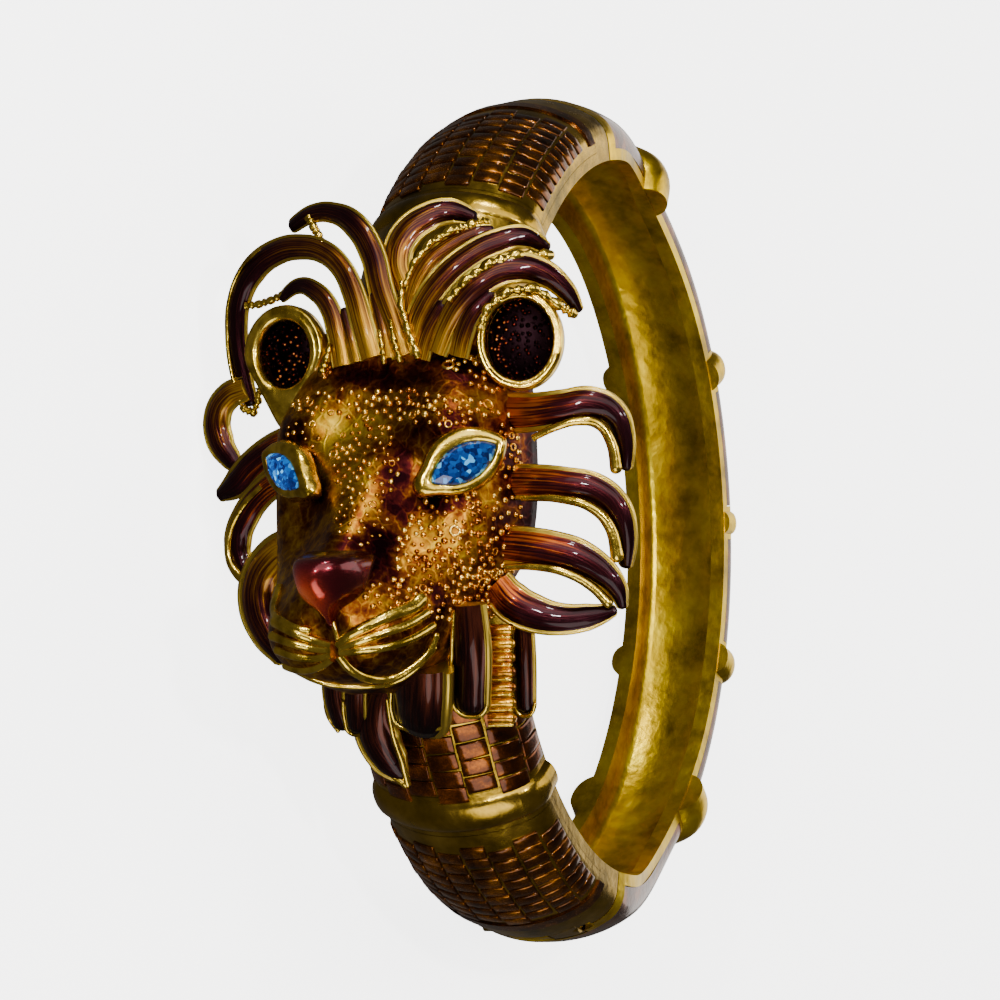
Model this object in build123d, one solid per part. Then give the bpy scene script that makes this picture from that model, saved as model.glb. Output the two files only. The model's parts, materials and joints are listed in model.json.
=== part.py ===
from build123d import *
import os
from math import asin, atan2, ceil, cos, degrees, pi, radians, sin

# Hinged bangle with a lion's head, all lengths in mm and all angles in degrees.
# Angles round the band start under the face: positive towards the mane's crown and the clasp,
# negative towards the chin and the hinge, 180 at the middle of the rear half.

# Wrist opening
wrist_width = 58.0
wrist_front = 23.3
wrist_rear = 26.3

# Band section
joint_width = 14.4
seat_width = 13.2
rear_width = 9.2
front_height = 5.5
rear_height = 4.0
rim_height = 0.9
shoulder_rise = 0.5
front_wall = 1.4
rear_wall = 1.25
corner_share = 0.68
taper_arc = 42.0

# Steps between the sections of the lofts round the band, and how far cutters stand out of the metal
front_step = 20.0
rear_step = 16.0
seat_step = 12.0
enamel_step = 9.0
overcut = 1.0

# Split of the band, closed ends of its hollow
joint_angle = 80.0
joint_gap = 0.2
end_wall = 4.2

# Enamel laid in the band's recesses
enamel_depth = 0.5
enamel_gap = 0.04

# Hinge
swing = 60.0
swing_margin = 6.0
barrel_radius = 1.2
barrel_length = 8.4
centre_knuckle = 3.4
knuckle_gap = 0.15
barrel_clearance = 0.15
pin_radius = 0.6
pin_clearance = 0.05
pin_seat = 0.01

# Clasp
tongue_width = 5.0
tongue_thickness = 1.2
tongue_reach = 5.2
tongue_height = 2.3
tongue_clearance = 0.3
tongue_fit = 0.02
foot_width = 6.6
foot_thickness = 1.2
foot_margin = 0.9

# Lion's head
seat_forward = 24.3
face_depth = 16.0
face_height = 28.0
chin_up = -14.5
face_width = 21.6
face_side = 0.12
face_roundness = 0.58
head_wall = 1.4
head_gap = 0.1
seat_angle = 50.0
mane_half_width = 18.0
mane_half_height = 22.5
post_radius = 0.9
post_gap = 0.08
post_tail = 0.7
ear_width = 6.6
ear_height = 7.6
ear_thickness = 2.4
ear_rim = 0.75
ear_recess = 1.0
ear_turn = 16.0
ear_place = (0.545, 0.51, 0.19)

# Eye stones and their settings
stone_length = 6.4
stone_width = 3.2
stone_crown = 0.65
stone_girdle = 0.25
stone_pavilion = 0.9
stone_sides = 12
table_share = 0.55
culet_share = 0.15
setting_wall = 0.75
setting_lip = 0.3
setting_depth = 3.4
stone_gap = 0.04
setting_point = 1.5
seat_point = 2.0
eye_across = 7.3
eye_up = 2.1
eye_forward = 32.1
eye_turn = 28.0
eye_slant = 30.0

# Profile of a raised bar: share of its half length, share of its height
bar_rows = [(-1.0, -0.15), (-0.6, 0.75), (0.0, 1.0), (0.6, 0.75), (1.0, -0.15)]
bar_root = 0.6
bar_foot = 0.12

# Gold bars across the front half: name, middle angle, length round the band, height above it
bars = [
    ("collar_upper", 44.0, 1.8, 0.35),
    ("collar_lower", -45.0, 2.6, 0.60),
]

# Enamel panels of the front half: name, first angle, last angle
front_panels = [
    ("scale_enamel_upper", 46.5, 74.0),
    ("scale_enamel_lower", -74.0, -48.5),
    ("scale_enamel_neck", -41.5, -27.0),
]

# Ribs across the rear half: middle angle, length round the band, height above it
rear_ribs = [
    (111.0, 4.6, 1.5),
    (152.0, 2.8, 0.9),
    (178.0, 2.0, 0.5),
    (202.0, 2.8, 0.9),
    (231.0, 4.6, 1.4),
]
rib_margin = 0.4
end_bar = 1.0

# Face sections from the chin to the brow, as shares of the face's height, width and depth:
# height above the chin, half width, depth at the middle
face_sections = [
    (0.06, 0.42, 0.58),
    (0.18, 0.70, 0.70),
    (0.34, 0.90, 0.73),
    (0.48, 0.97, 0.66),
    (0.59, 1.00, 0.575),
    (0.77, 0.97, 0.40),
    (0.91, 0.88, 0.28),
    (1.00, 0.76, 0.20),
]

# Rounded forms on the face, as shares of the face's half width, height and depth:
# across, height above the chin, depth, then half sizes across, up and forward, and mirrored or not
face_forms = [
    (0.29, 0.175, 0.66, 0.37, 0.118, 0.235, True),
    (0.00, 0.285, 0.80, 0.31, 0.095, 0.195, False),
    (0.00, 0.470, 0.60, 0.29, 0.260, 0.150, False),
    (0.00, 0.065, 0.62, 0.35, 0.070, 0.170, False),
    (0.60, 0.700, 0.40, 0.38, 0.085, 0.125, True),
    (0.70, 0.390, 0.44, 0.30, 0.165, 0.230, True),
]

# Locks of the mane and tabs of the beard. Each row of a lock is a section of it: across and up
# as shares of the mane's half width and half height, depth as a share of the face's depth,
# then half width and half thickness in mm.
mane_locks = {
    "left_crown_inner": [
        (0.02, 0.56, 0.20, 1.5, 1.1),
        (0.02, 0.76, 0.24, 1.6, 1.2),
        (0.08, 0.90, 0.22, 1.6, 1.2),
        (0.18, 0.96, 0.13, 1.3, 1.1),
        (0.27, 0.94, 0.02, 0.5, 0.5),
    ],
    "left_crown_middle": [
        (0.06, 0.50, 0.18, 1.4, 1.1),
        (0.13, 0.66, 0.27, 1.6, 1.2),
        (0.25, 0.77, 0.29, 1.7, 1.3),
        (0.39, 0.83, 0.20, 1.5, 1.2),
        (0.51, 0.83, -0.06, 0.6, 0.6),
    ],
    "left_crown_outer": [
        (0.18, 0.44, 0.18, 1.5, 1.1),
        (0.27, 0.58, 0.28, 1.7, 1.3),
        (0.42, 0.69, 0.29, 1.8, 1.4),
        (0.58, 0.73, 0.17, 1.5, 1.2),
        (0.69, 0.64, -0.05, 0.6, 0.6),
    ],
    "left_side_top": [
        (0.44, 0.28, 0.16, 1.5, 1.2),
        (0.69, 0.33, 0.16, 1.3, 1.1),
        (0.86, 0.31, 0.11, 1.3, 1.0),
        (0.945, 0.21, 0.05, 1.1, 0.9),
        (0.93, 0.075, 0.01, 0.6, 0.6),
    ],
    "left_side_upper": [
        (0.44, 0.10, 0.17, 1.3, 1.1),
        (0.67, 0.06, 0.18, 1.2, 1.0),
        (0.84, 0.03, 0.13, 1.1, 1.0),
        (0.94, -0.05, 0.05, 1.0, 0.9),
        (0.945, -0.20, 0.00, 0.7, 0.6),
    ],
    "left_side_lower": [
        (0.42, -0.09, 0.18, 1.4, 1.2),
        (0.65, -0.13, 0.20, 1.4, 1.2),
        (0.80, -0.21, 0.17, 1.3, 1.1),
        (0.90, -0.31, 0.09, 1.1, 0.9),
        (0.935, -0.37, 0.04, 0.6, 0.6),
    ],
    "left_side_bottom": [
        (0.38, -0.27, 0.20, 1.3, 1.2),
        (0.56, -0.38, 0.20, 1.3, 1.1),
        (0.72, -0.43, 0.17, 1.2, 1.0),
        (0.85, -0.42, 0.10, 1.0, 0.9),
        (0.93, -0.38, 0.05, 0.5, 0.5),
    ],
    "right_crown_inner": [
        (-0.02, 0.50, 0.20, 1.3, 1.1),
        (-0.03, 0.70, 0.31, 1.3, 1.2),
        (-0.12, 0.88, 0.30, 1.3, 1.2),
        (-0.28, 0.975, 0.24, 1.2, 1.1),
        (-0.44, 0.975, 0.15, 1.0, 0.9),
        (-0.52, 0.95, 0.10, 0.5, 0.5),
    ],
    "right_crown_outer": [
        (-0.11, 0.48, 0.22, 1.4, 1.1),
        (-0.15, 0.66, 0.34, 1.5, 1.3),
        (-0.28, 0.82, 0.33, 1.6, 1.4),
        (-0.50, 0.87, 0.25, 1.6, 1.4),
        (-0.72, 0.80, 0.14, 1.5, 1.3),
        (-0.85, 0.64, 0.06, 1.4, 1.1),
        (-0.865, 0.52, 0.04, 1.1, 0.9),
        (-0.835, 0.41, 0.03, 0.5, 0.5),
    ],
    "right_crown_lower": [
        (-0.22, 0.44, 0.22, 1.2, 1.1),
        (-0.24, 0.58, 0.34, 1.2, 1.2),
        (-0.32, 0.69, 0.36, 1.2, 1.1),
        (-0.45, 0.72, 0.29, 1.1, 0.9),
        (-0.56, 0.69, 0.22, 0.6, 0.5),
    ],
    "right_side_top": [
        (-0.44, 0.22, 0.16, 1.2, 1.0),
        (-0.70, 0.30, 0.12, 1.1, 1.0),
        (-0.87, 0.31, 0.07, 1.0, 0.9),
        (-0.955, 0.22, 0.05, 1.0, 0.9),
        (-0.93, 0.11, 0.06, 0.6, 0.6),
    ],
    "right_side_upper": [
        (-0.44, 0.10, 0.17, 1.4, 1.1),
        (-0.68, 0.09, 0.12, 1.2, 1.0),
        (-0.86, 0.065, 0.04, 0.8, 0.7),
        (-0.965, 0.045, 0.00, 0.35, 0.35),
    ],
    "right_side_lower": [
        (-0.42, 0.03, 0.18, 1.2, 1.1),
        (-0.70, 0.00, 0.12, 1.1, 1.0),
        (-0.86, -0.06, 0.04, 1.0, 0.9),
        (-0.91, -0.15, 0.00, 1.0, 0.9),
        (-0.86, -0.24, 0.01, 0.9, 0.8),
        (-0.74, -0.29, 0.06, 0.5, 0.5),
    ],
    "right_side_bottom": [
        (-0.40, -0.12, 0.18, 1.2, 1.1),
        (-0.70, -0.20, 0.12, 1.1, 1.0),
        (-0.80, -0.31, 0.09, 1.2, 1.0),
        (-0.72, -0.45, 0.11, 1.1, 1.0),
        (-0.52, -0.55, 0.15, 0.6, 0.6),
    ],
    "beard_right": [
        (-0.26, -0.50, 0.22, 1.6, 1.0),
        (-0.30, -0.66, 0.13, 1.7, 0.9),
        (-0.31, -0.79, 0.04, 1.1, 0.7),
    ],
    "beard_middle": [
        (0.00, -0.44, 0.30, 2.1, 1.2),
        (0.01, -0.60, 0.20, 2.2, 1.0),
        (0.01, -0.74, 0.12, 1.5, 0.8),
    ],
    "beard_left": [
        (0.24, -0.40, 0.26, 2.0, 1.3),
        (0.26, -0.57, 0.18, 2.0, 1.1),
        (0.27, -0.71, 0.09, 1.4, 0.8),
    ],
    "beard_outer": [
        (0.37, -0.38, 0.10, 1.1, 1.2),
        (0.38, -0.56, 0.02, 1.1, 1.2),
        (0.38, -0.73, -0.06, 0.8, 0.9),
    ],
}

# Gold bridges that tie neighbouring locks together, in the same shares: across, up, depth, radius
lock_ties = [
    (-0.43, 0.925, 0.18, 1.0),
    (-0.78, 0.36, 0.06, 1.0),
    (-0.56, 0.60, 0.16, 1.1),
    (0.90, 0.06, 0.04, 1.0),
    (0.90, -0.24, 0.05, 1.1),
]

# Turn of the ties' round ends, which keeps their poles off the locks' edges
tie_turn = (35, 20, 0)

# Posts on the back of the head: height above the chin, depth of the root, as shares of the face
head_posts = [(0.25, 0.66), (0.80, 0.35)]

# Base of the crown locks on the lion's left: shares and half sizes as for the face's forms
crown_base = (0.40, 1.03, 0.06, 0.62, 0.20, 0.17)

# Feet that the bangle stands on when it lies on its side: two locks and the rear rim
foot_locks = [("right_side_top", 3), ("right_side_lower", 3)]


def band_half(angle):
    """Half width of the band at an angle."""
    beyond = max(0.0, abs((angle + 180) % 360 - 180) - joint_angle)
    if beyond > 0:
        taper = 0.5 - 0.5 * cos(pi * min(1.0, beyond / taper_arc))
        return (joint_width + (rear_width - joint_width) * taper) / 2
    share = (sin(radians(angle)) / sin(radians(joint_angle))) ** 2
    return (seat_width + (joint_width - seat_width) * share) / 2


def band_height(angle):
    """Height of the band's crown above its inner rim at an angle."""
    beyond = max(0.0, abs((angle + 180) % 360 - 180) - joint_angle)
    taper = 0.5 - 0.5 * cos(pi * min(1.0, beyond / taper_arc))
    return front_height + (rear_height - front_height) * taper


def across_band(angle):
    """Plane across the band: x along the wrist's axis, y outwards, z round the band."""
    turn = radians(angle)
    half = wrist_width / 2
    depth = wrist_front if cos(turn) > 0 else wrist_rear
    outward = Vector(-sin(turn) / half, -cos(turn) / depth, 0).normalized()
    origin = Vector(-half * sin(turn), -depth * cos(turn), 0)
    return Plane(origin=origin, x_dir=(0, 0, 1), z_dir=Vector(0, 0, 1).cross(outward))


def arch_lines(half, height, inset, base):
    """Lines of the band's arch from one foot over the crown to the other, moved in by inset."""
    shoulder = rim_height + shoulder_rise
    rise = height - shoulder
    corner = corner_share * rise
    corner_at = half - corner
    crown = (corner_at**2 + rise**2 - corner**2) / (2 * (rise - corner))
    reach = atan2(shoulder - height + crown, corner_at)
    radius = corner - inset
    side = half - inset
    bend = (corner_at + radius * cos(reach / 2), shoulder + radius * sin(reach / 2))
    top = (corner_at + radius * cos(reach), shoulder + radius * sin(reach))
    return [
        Line((side, base), (side, shoulder)),
        ThreePointArc((side, shoulder), bend, top),
        ThreePointArc(top, (0, height - inset), (-top[0], top[1])),
        ThreePointArc((-top[0], top[1]), (-bend[0], bend[1]), (-side, shoulder)),
        Line((-side, shoulder), (-side, base)),
    ]


def arch_face(half, height, inset=0.0, base=0.0):
    """Solid section of the band."""
    side = half - inset
    return make_face(arch_lines(half, height, inset, base) + [Line((-side, base), (side, base))])


def skin_face(half, height, top, floor, base):
    """Section of a layer on the band, from inset top down to inset floor, ending at its feet."""
    feet = [
        Line((-(half - top), base), (-(half - floor), base)),
        Line((half - floor, base), (half - top, base)),
    ]
    return make_face(arch_lines(half, height, top, base) + arch_lines(half, height, floor, base) + feet)


def spread(first, last, step):
    """Evenly spaced angles from first to last."""
    count = max(2, ceil(abs(last - first) / step))
    return [first + (last - first) * i / count for i in range(count + 1)]


def band_loft(first, last, section, step=front_step):
    """Loft along the band of section(half width, height)."""
    faces = [across_band(a) * section(band_half(a), band_height(a)) for a in spread(first, last, step)]
    return loft(faces)


def skin(first, last, top, floor, base):
    """Layer laid on the band between two angles."""
    return band_loft(first, last, lambda half, height: skin_face(half, height, top, floor, base), enamel_step)


def arc_angle(length, angle):
    """Angle round the band that a length spans near an angle."""
    here = across_band(angle).origin
    step = (across_band(angle + 1).origin - here).length
    return length / step


def raised_bar(angle, length, proud):
    """Rounded bar across the band, standing proud of it and rooted in its wall."""
    half_span = arc_angle(length, angle) / 2
    faces = []
    for along, up in bar_rows:
        a = angle + along * half_span
        section = skin_face(band_half(a), band_height(a), -proud * up, bar_root, bar_foot)
        faces.append(across_band(a) * section)
    return loft(faces)


def at(across, up, forward):
    """Point of the head: across to the lion's left, up, and forward from the wrist's centre."""
    return Vector(-up, -forward, across)


def face_point(across, up, depth):
    """Point from shares of the face's half width, height and depth."""
    return at(across * face_width / 2, chin_up + up * face_height, seat_forward + depth * face_depth)


def mane_point(across, up, depth):
    """Point from shares of the mane's half width and half height and the face's depth."""
    return at(across * mane_half_width, up * mane_half_height, seat_forward + depth * face_depth)


def face_form(across, up, depth, size_across, size_up, size_depth):
    """Rounded form whose place and half sizes are shares of the face."""
    sizes = (size_up * face_height, size_depth * face_depth, size_across * face_width / 2)
    return Pos(face_point(across, up, depth)) * scale(Rot(0, 0, 180) * Sphere(1), by=sizes)


def lock(rows):
    """Tapered lock of hair through oval sections."""
    points = [mane_point(*row[:3]) for row in rows]
    faces = []
    for i, row in enumerate(rows):
        along = (points[min(i + 1, len(rows) - 1)] - points[max(i - 1, 0)]).normalized()
        side = along.cross(Vector(0, -1, 0)).normalized()
        faces.append(Plane(origin=points[i], x_dir=side, z_dir=along) * Ellipse(row[3], row[4]))
    return loft(faces)


def brow_face(half, height, foot):
    """Section across the face: upright at its sides, rounded over to its middle line."""
    side = face_side * height
    handle = side + face_roundness * (height - side)
    across = face_roundness * half
    return make_face(
        [
            Line((half, foot), (half, side)),
            Bezier((half, side), (half, handle), (across, height), (0, height)),
            Bezier((0, height), (-across, height), (-half, handle), (-half, side)),
            Line((-half, side), (-half, foot)),
            Line((-half, foot), (half, foot)),
        ]
    )


def face_shell(inset, foot):
    """Body of the face, moved in by inset, down to a foot below its seat."""
    faces = []
    low, high = face_sections[0][0], face_sections[-1][0]
    squeeze = 1 - 2 * inset / ((high - low) * face_height)
    middle = (low + high) / 2
    for up, half, depth in face_sections:
        height = chin_up + (middle + (up - middle) * squeeze) * face_height
        plane = Plane(origin=at(0, height, seat_forward), x_dir=(0, 0, 1), z_dir=(1, 0, 0))
        faces.append(plane * brow_face(half * face_width / 2 - inset, depth * face_depth - inset, foot))
    return loft(faces)


def marquise(length, width):
    """Pointed oval with straight sides, as points."""
    half = length / 2
    bow = width / 2
    radius = (half**2 + bow**2) / (2 * bow)
    reach = atan2(half, radius - bow)
    steps = stone_sides // 2
    angles = [pi / 2 + reach - 2 * reach * i / steps for i in range(steps)]
    upper = [(radius * cos(t), radius * sin(t) - (radius - bow)) for t in angles]
    lower = [(-x, -y) for x, y in upper]
    return upper + lower


def marquise_face(length, width, level=0.0):
    """Face of a pointed oval at a level."""
    return Pos(0, 0, level) * make_face(Polyline(*marquise(length, width), close=True))


def eye_plane(side):
    """Seat of an eye stone: side is 1 for the lion's left and -1 for its right."""
    turn = radians(eye_turn)
    slant = radians(eye_slant)
    normal = at(side * sin(turn), 0, cos(turn))
    level = at(side * cos(turn), 0, -sin(turn))
    long_way = level * cos(slant) + at(0, 1, 0) * sin(slant)
    return Plane(origin=at(side * eye_across, eye_up, eye_forward), x_dir=long_way, z_dir=normal)


def eye_stone():
    """Cut stone with a table, a girdle and a small culet."""
    return loft(
        [
            marquise_face(stone_length * culet_share, stone_width * culet_share, -stone_pavilion),
            marquise_face(stone_length, stone_width, 0.0),
            marquise_face(stone_length, stone_width, stone_girdle),
            marquise_face(stone_length * table_share, stone_width * table_share, stone_girdle + stone_crown),
        ],
        ruled=True,
    )


def eye_setting():
    """Collar of metal round a stone, down into the face."""
    grow = 2 * (setting_wall + stone_gap)
    foot = marquise_face(stone_length + grow * setting_point, stone_width + grow, -setting_depth)
    return extrude(foot, setting_depth + setting_lip)


def eye_seat():
    """Space for a stone in its setting."""
    grow = 2 * stone_gap
    girdle = marquise_face(stone_length + grow * seat_point, stone_width + grow)
    point = (stone_length * culet_share + grow, stone_width * culet_share + grow)
    culet = marquise_face(*point, -stone_pavilion - stone_gap)
    return extrude(girdle, setting_lip + stone_crown + overcut) + loft([culet, girdle], ruled=True)


def ear(side):
    """Oval ear with a raised rim round a sunk middle."""
    turn = radians(ear_turn)
    normal = at(side * sin(turn), 0, cos(turn))
    across, up, depth = ear_place
    plane = Plane(origin=mane_point(side * across, up, depth), x_dir=at(0, 1, 0), z_dir=normal)
    body = plane * extrude(Ellipse(ear_height / 2, ear_width / 2), ear_thickness / 2, both=True)
    inside = Ellipse(ear_height / 2 - ear_rim, ear_width / 2 - ear_rim)
    recess = plane * Pos(0, 0, ear_thickness / 2 - ear_recess) * extrude(inside, ear_recess * 2)
    return body - recess


half_gap = degrees(joint_gap / 2 / (wrist_width / 2))
front_end = joint_angle - half_gap
rear_start = joint_angle + half_gap
rear_end = 360 - rear_start
wall_angle = arc_angle(end_wall, joint_angle)

# Front half of the band: an open channel with closed ends, its bars, and recesses for the enamel
front_band = band_loft(-front_end, front_end, lambda half, height: arch_face(half, height))
front_hollow = band_loft(
    -front_end + wall_angle,
    front_end - wall_angle,
    lambda half, height: arch_face(half - front_wall, height - front_wall, 0.0, -rear_height),
)
front_band -= front_hollow
front_enamel = {}
recesses = []
for name, first, last in front_panels:
    recesses.append(skin(first, last, -overcut, enamel_depth, rim_height))
    rim_clear = arc_angle(enamel_gap, first)
    front_enamel[name] = skin(first + rim_clear, last - rim_clear, 0.0, enamel_depth - enamel_gap,
                              rim_height + enamel_gap)
front_band = front_band.cut(*recesses).fuse(*[raised_bar(*row[1:]) for row in bars])

# Rear half of the band, with its ribs and the enamel between them
rear_band = band_loft(rear_start, rear_end, lambda half, height: arch_face(half, height), rear_step)
rear_hollow = band_loft(
    rear_start + wall_angle,
    rear_end - wall_angle,
    lambda half, height: arch_face(half - rear_wall, height - rear_wall, 0.0, -rear_height),
    rear_step,
)
rear_band -= rear_hollow
rib_edges = [rear_start + arc_angle(end_bar, rear_start)]
for angle, length, proud in rear_ribs:
    clear = arc_angle(length / 2 + rib_margin, angle)
    rib_edges += [angle - clear, angle + clear]
rib_edges.append(rear_end - arc_angle(end_bar, rear_end))
rear_enamel = {}
recesses = []
for i in range(0, len(rib_edges), 2):
    first, last = rib_edges[i], rib_edges[i + 1]
    recesses.append(skin(first, last, -overcut, enamel_depth, rim_height))
    rim_clear = arc_angle(enamel_gap, first)
    rear_enamel[f"rear_enamel_{i // 2 + 1}"] = skin(first + rim_clear, last - rim_clear, 0.0,
                                                    enamel_depth - enamel_gap, rim_height + enamel_gap)
rear_band = rear_band.cut(*recesses).fuse(*[raised_bar(*row) for row in rear_ribs])

# Hinge at the chin's end: two outer knuckles on the front half, one in the middle on the rear half
hinge_plane = across_band(-joint_angle)
pin_level = front_height - barrel_radius
pin_place = hinge_plane.from_local_coords(Vector(0, pin_level, 0))
hinge_frame = Plane(origin=pin_place, x_dir=hinge_plane.y_dir, z_dir=(0, 0, 1))


def barrel(radius, low, high):
    """Round bar on the hinge's axis between two levels."""
    return hinge_frame * Pos(0, 0, (low + high) / 2) * Cylinder(radius, high - low)


half_barrel = barrel_length / 2
half_centre = centre_knuckle / 2
side_spans = [(-half_barrel, -half_centre - knuckle_gap), (half_centre + knuckle_gap, half_barrel)]
notch_half = radians(swing / 2 + swing_margin / 2)
notch_reach = 2 * barrel_radius
notch_face = make_face(
    Polyline(
        (0, 0),
        (notch_reach * cos(notch_half), notch_reach * sin(notch_half)),
        (notch_reach * cos(notch_half), -notch_reach * sin(notch_half)),
        close=True,
    )
)
notch = hinge_frame * extrude(notch_face, joint_width, both=True)
trim = hinge_plane * extrude(arch_face(joint_width / 2, front_height), 2 * barrel_radius, both=True)
centre_space = half_centre + knuckle_gap
front_band -= notch + barrel(barrel_radius + barrel_clearance, -centre_space, centre_space)
rear_band -= notch
for low, high in side_spans:
    front_band += barrel(barrel_radius, low, high) & trim
    rear_band -= barrel(barrel_radius + barrel_clearance, low - knuckle_gap, high + knuckle_gap)
rear_band += barrel(barrel_radius, -half_centre, half_centre) & trim
front_band -= barrel(pin_radius + pin_seat, -half_barrel - overcut, half_barrel + overcut)
rear_band -= barrel(pin_radius + pin_clearance, -half_barrel - overcut, half_barrel + overcut)
hinge_pin = barrel(pin_radius, -half_barrel, half_barrel)

# Clasp at the crown's end: a plain tongue fixed through the rear half's end wall,
# in a slot in the front half's end wall, along the way it travels as the bangle opens
clasp_plane = across_band(joint_angle)
tongue_place = clasp_plane.from_local_coords(Vector(0, tongue_height, 0))
wall_back = end_wall + foot_margin


def tongue_box(grow, width, thickness, start, end):
    """Bar along the clasp's travel, from start behind the joint to end past it."""
    box = Box(thickness + 2 * grow, end - start, width + 2 * grow)
    return Pos(tongue_place + Vector(0, -(start + end) / 2, 0)) * box


clasp_tongue = tongue_box(0, tongue_width, tongue_thickness, -wall_back - foot_thickness, tongue_reach)
clasp_tongue += tongue_box(0, foot_width, tongue_thickness, -wall_back - foot_thickness, -wall_back)
front_band -= tongue_box(tongue_clearance, tongue_width, tongue_thickness, -overcut,
                         tongue_reach + tongue_clearance)
rear_band -= tongue_box(tongue_fit, tongue_width, tongue_thickness, -wall_back, overcut)

# Lion's head: one hollow casting over the front of the band
head = face_shell(0.0, 0.0)
forms = [face_form(*crown_base)]
for *form, paired in face_forms:
    forms.append(face_form(*form))
    if paired:
        forms.append(face_form(-form[0], *form[1:]))
for side in (1, -1):
    forms.append(ear(side))
    forms.append(eye_plane(side) * eye_setting())
head = head.fuse(*forms)
for rows in mane_locks.values():
    head += lock(rows)
for across, up, depth, radius in lock_ties:
    head += Pos(mane_point(across, up, depth)) * Rot(*tie_turn) * Sphere(radius)
seat = band_loft(
    -seat_angle,
    seat_angle,
    lambda half, height: arch_face(half, height, -head_gap, -rear_height),
    seat_step,
)
lion_head = head - face_shell(head_wall, -overcut)
lion_head -= seat
for side in (1, -1):
    lion_head -= eye_plane(side) * eye_seat()

# Two posts on the back of the head, through holes in the band
for post_up, post_root in head_posts:
    up = chin_up + post_up * face_height
    angle = degrees(asin(up / (wrist_width / 2)))
    crown = across_band(angle).from_local_coords(Vector(0, band_height(angle), 0))
    start = -crown.Y - front_wall - post_tail
    length = seat_forward + post_root * face_depth - start
    post_axis = Plane(origin=at(0, up, start + length / 2), z_dir=(0, -1, 0))
    lion_head += post_axis * Cylinder(post_radius, length)
    front_band -= post_axis * Cylinder(post_radius + post_gap, length)


def foot_point(name, row):
    """Outer side of a lock on the lion's right, where it touches the ground."""
    across, up, depth, half, _ = mane_locks[name][row]
    return mane_point(across, up, depth) - at(half, 0, 0)


# The bangle lies on its side, on two locks of the mane and the smallest rib
rib_angle, _, rib_proud = rear_ribs[2]
rear_foot = across_band(rib_angle).from_local_coords(
    Vector(-band_half(rib_angle) - rib_proud, rim_height + shoulder_rise, 0)
)
feet = [foot_point(*foot) for foot in foot_locks]
ground_normal = (feet[1] - feet[0]).cross(rear_foot - feet[0]).normalized()
if ground_normal.Z < 0:
    ground_normal = -ground_normal
ground = Plane(
    origin=rear_foot,
    x_dir=Vector(1, 0, 0) - ground_normal * ground_normal.X,
    z_dir=ground_normal,
)

nodes = {
    "front_band": front_band,
    "rear_band": rear_band,
    "lion_head": lion_head,
    "hinge_pin": hinge_pin,
    "clasp_tongue": clasp_tongue,
    "eye_stone_left": eye_plane(1) * eye_stone(),
    "eye_stone_right": eye_plane(-1) * eye_stone(),
}
nodes.update(front_enamel)
nodes.update(rear_enamel)
placed = {name: ground.to_local_coords(shape) for name, shape in nodes.items()}
boxes = [shape.bounding_box() for shape in placed.values()]
low = [min(getattr(box.min, axis) for box in boxes) for axis in "XYZ"]
high = [max(getattr(box.max, axis) for box in boxes) for axis in "XYZ"]
shift = Vector(-(low[0] + high[0]) / 2, -(low[1] + high[1]) / 2, -low[2])

os.makedirs("parts", exist_ok=True)
for name, shape in placed.items():
    export_step(Pos(shift) * shape, f"parts/{name}.step")

pin_at = ground.to_local_coords(pin_place) + shift
centre_at = ground.to_local_coords(Vector(0, 0, 0)) + shift
axis = ground.to_local_coords(Vector(0, 0, 1)) + shift - centre_at
print("size", [round(h - l, 2) for l, h in zip(low, high)])
print("hinge pin at", tuple(round(v, 4) for v in pin_at), "along", tuple(round(v, 5) for v in axis))
print("wrist centre at", tuple(round(v, 4) for v in centre_at))
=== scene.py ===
import json
from math import atan2, cos, pi, radians, sin
from random import Random

import bpy
import numpy as np
from mathutils import Matrix, Vector


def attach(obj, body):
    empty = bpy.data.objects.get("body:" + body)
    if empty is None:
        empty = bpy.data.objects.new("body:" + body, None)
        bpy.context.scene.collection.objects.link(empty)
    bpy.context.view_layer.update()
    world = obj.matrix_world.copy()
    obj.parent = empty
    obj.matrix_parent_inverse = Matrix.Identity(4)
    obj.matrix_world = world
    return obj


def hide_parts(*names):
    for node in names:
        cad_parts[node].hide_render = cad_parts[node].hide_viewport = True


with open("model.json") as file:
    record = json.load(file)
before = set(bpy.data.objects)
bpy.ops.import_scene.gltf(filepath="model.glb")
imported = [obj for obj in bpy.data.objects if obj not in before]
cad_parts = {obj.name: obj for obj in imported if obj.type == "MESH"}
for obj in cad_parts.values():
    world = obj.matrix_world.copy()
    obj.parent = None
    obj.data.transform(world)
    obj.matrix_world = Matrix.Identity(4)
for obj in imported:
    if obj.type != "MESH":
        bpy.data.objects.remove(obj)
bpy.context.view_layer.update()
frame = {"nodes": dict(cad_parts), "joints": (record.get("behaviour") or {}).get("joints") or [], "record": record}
bpy.ops.object.select_all(action="DESELECT")

# The bangle as a whole: it is cast, gilt and hinged, and lies on its side. Its pieces are modelled
# in mm in the lion's own frame, from the middle of the wrist opening: X to the lion's left, Y up
# its face and Z out of it.
MM = 0.001
left = -Vector(frame["joints"][0]["axis"]).normalized()
up = Vector((-left.z, 0.0, left.x)).normalized()
wrist = Vector(frame["record"]["mounts"][0]["pos_m"])
lion_axes = Matrix((left, up, left.cross(up))).transposed().to_4x4()
lion_frame = Matrix.Translation(wrist) @ lion_axes @ Matrix.Scale(MM, 4)

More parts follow.
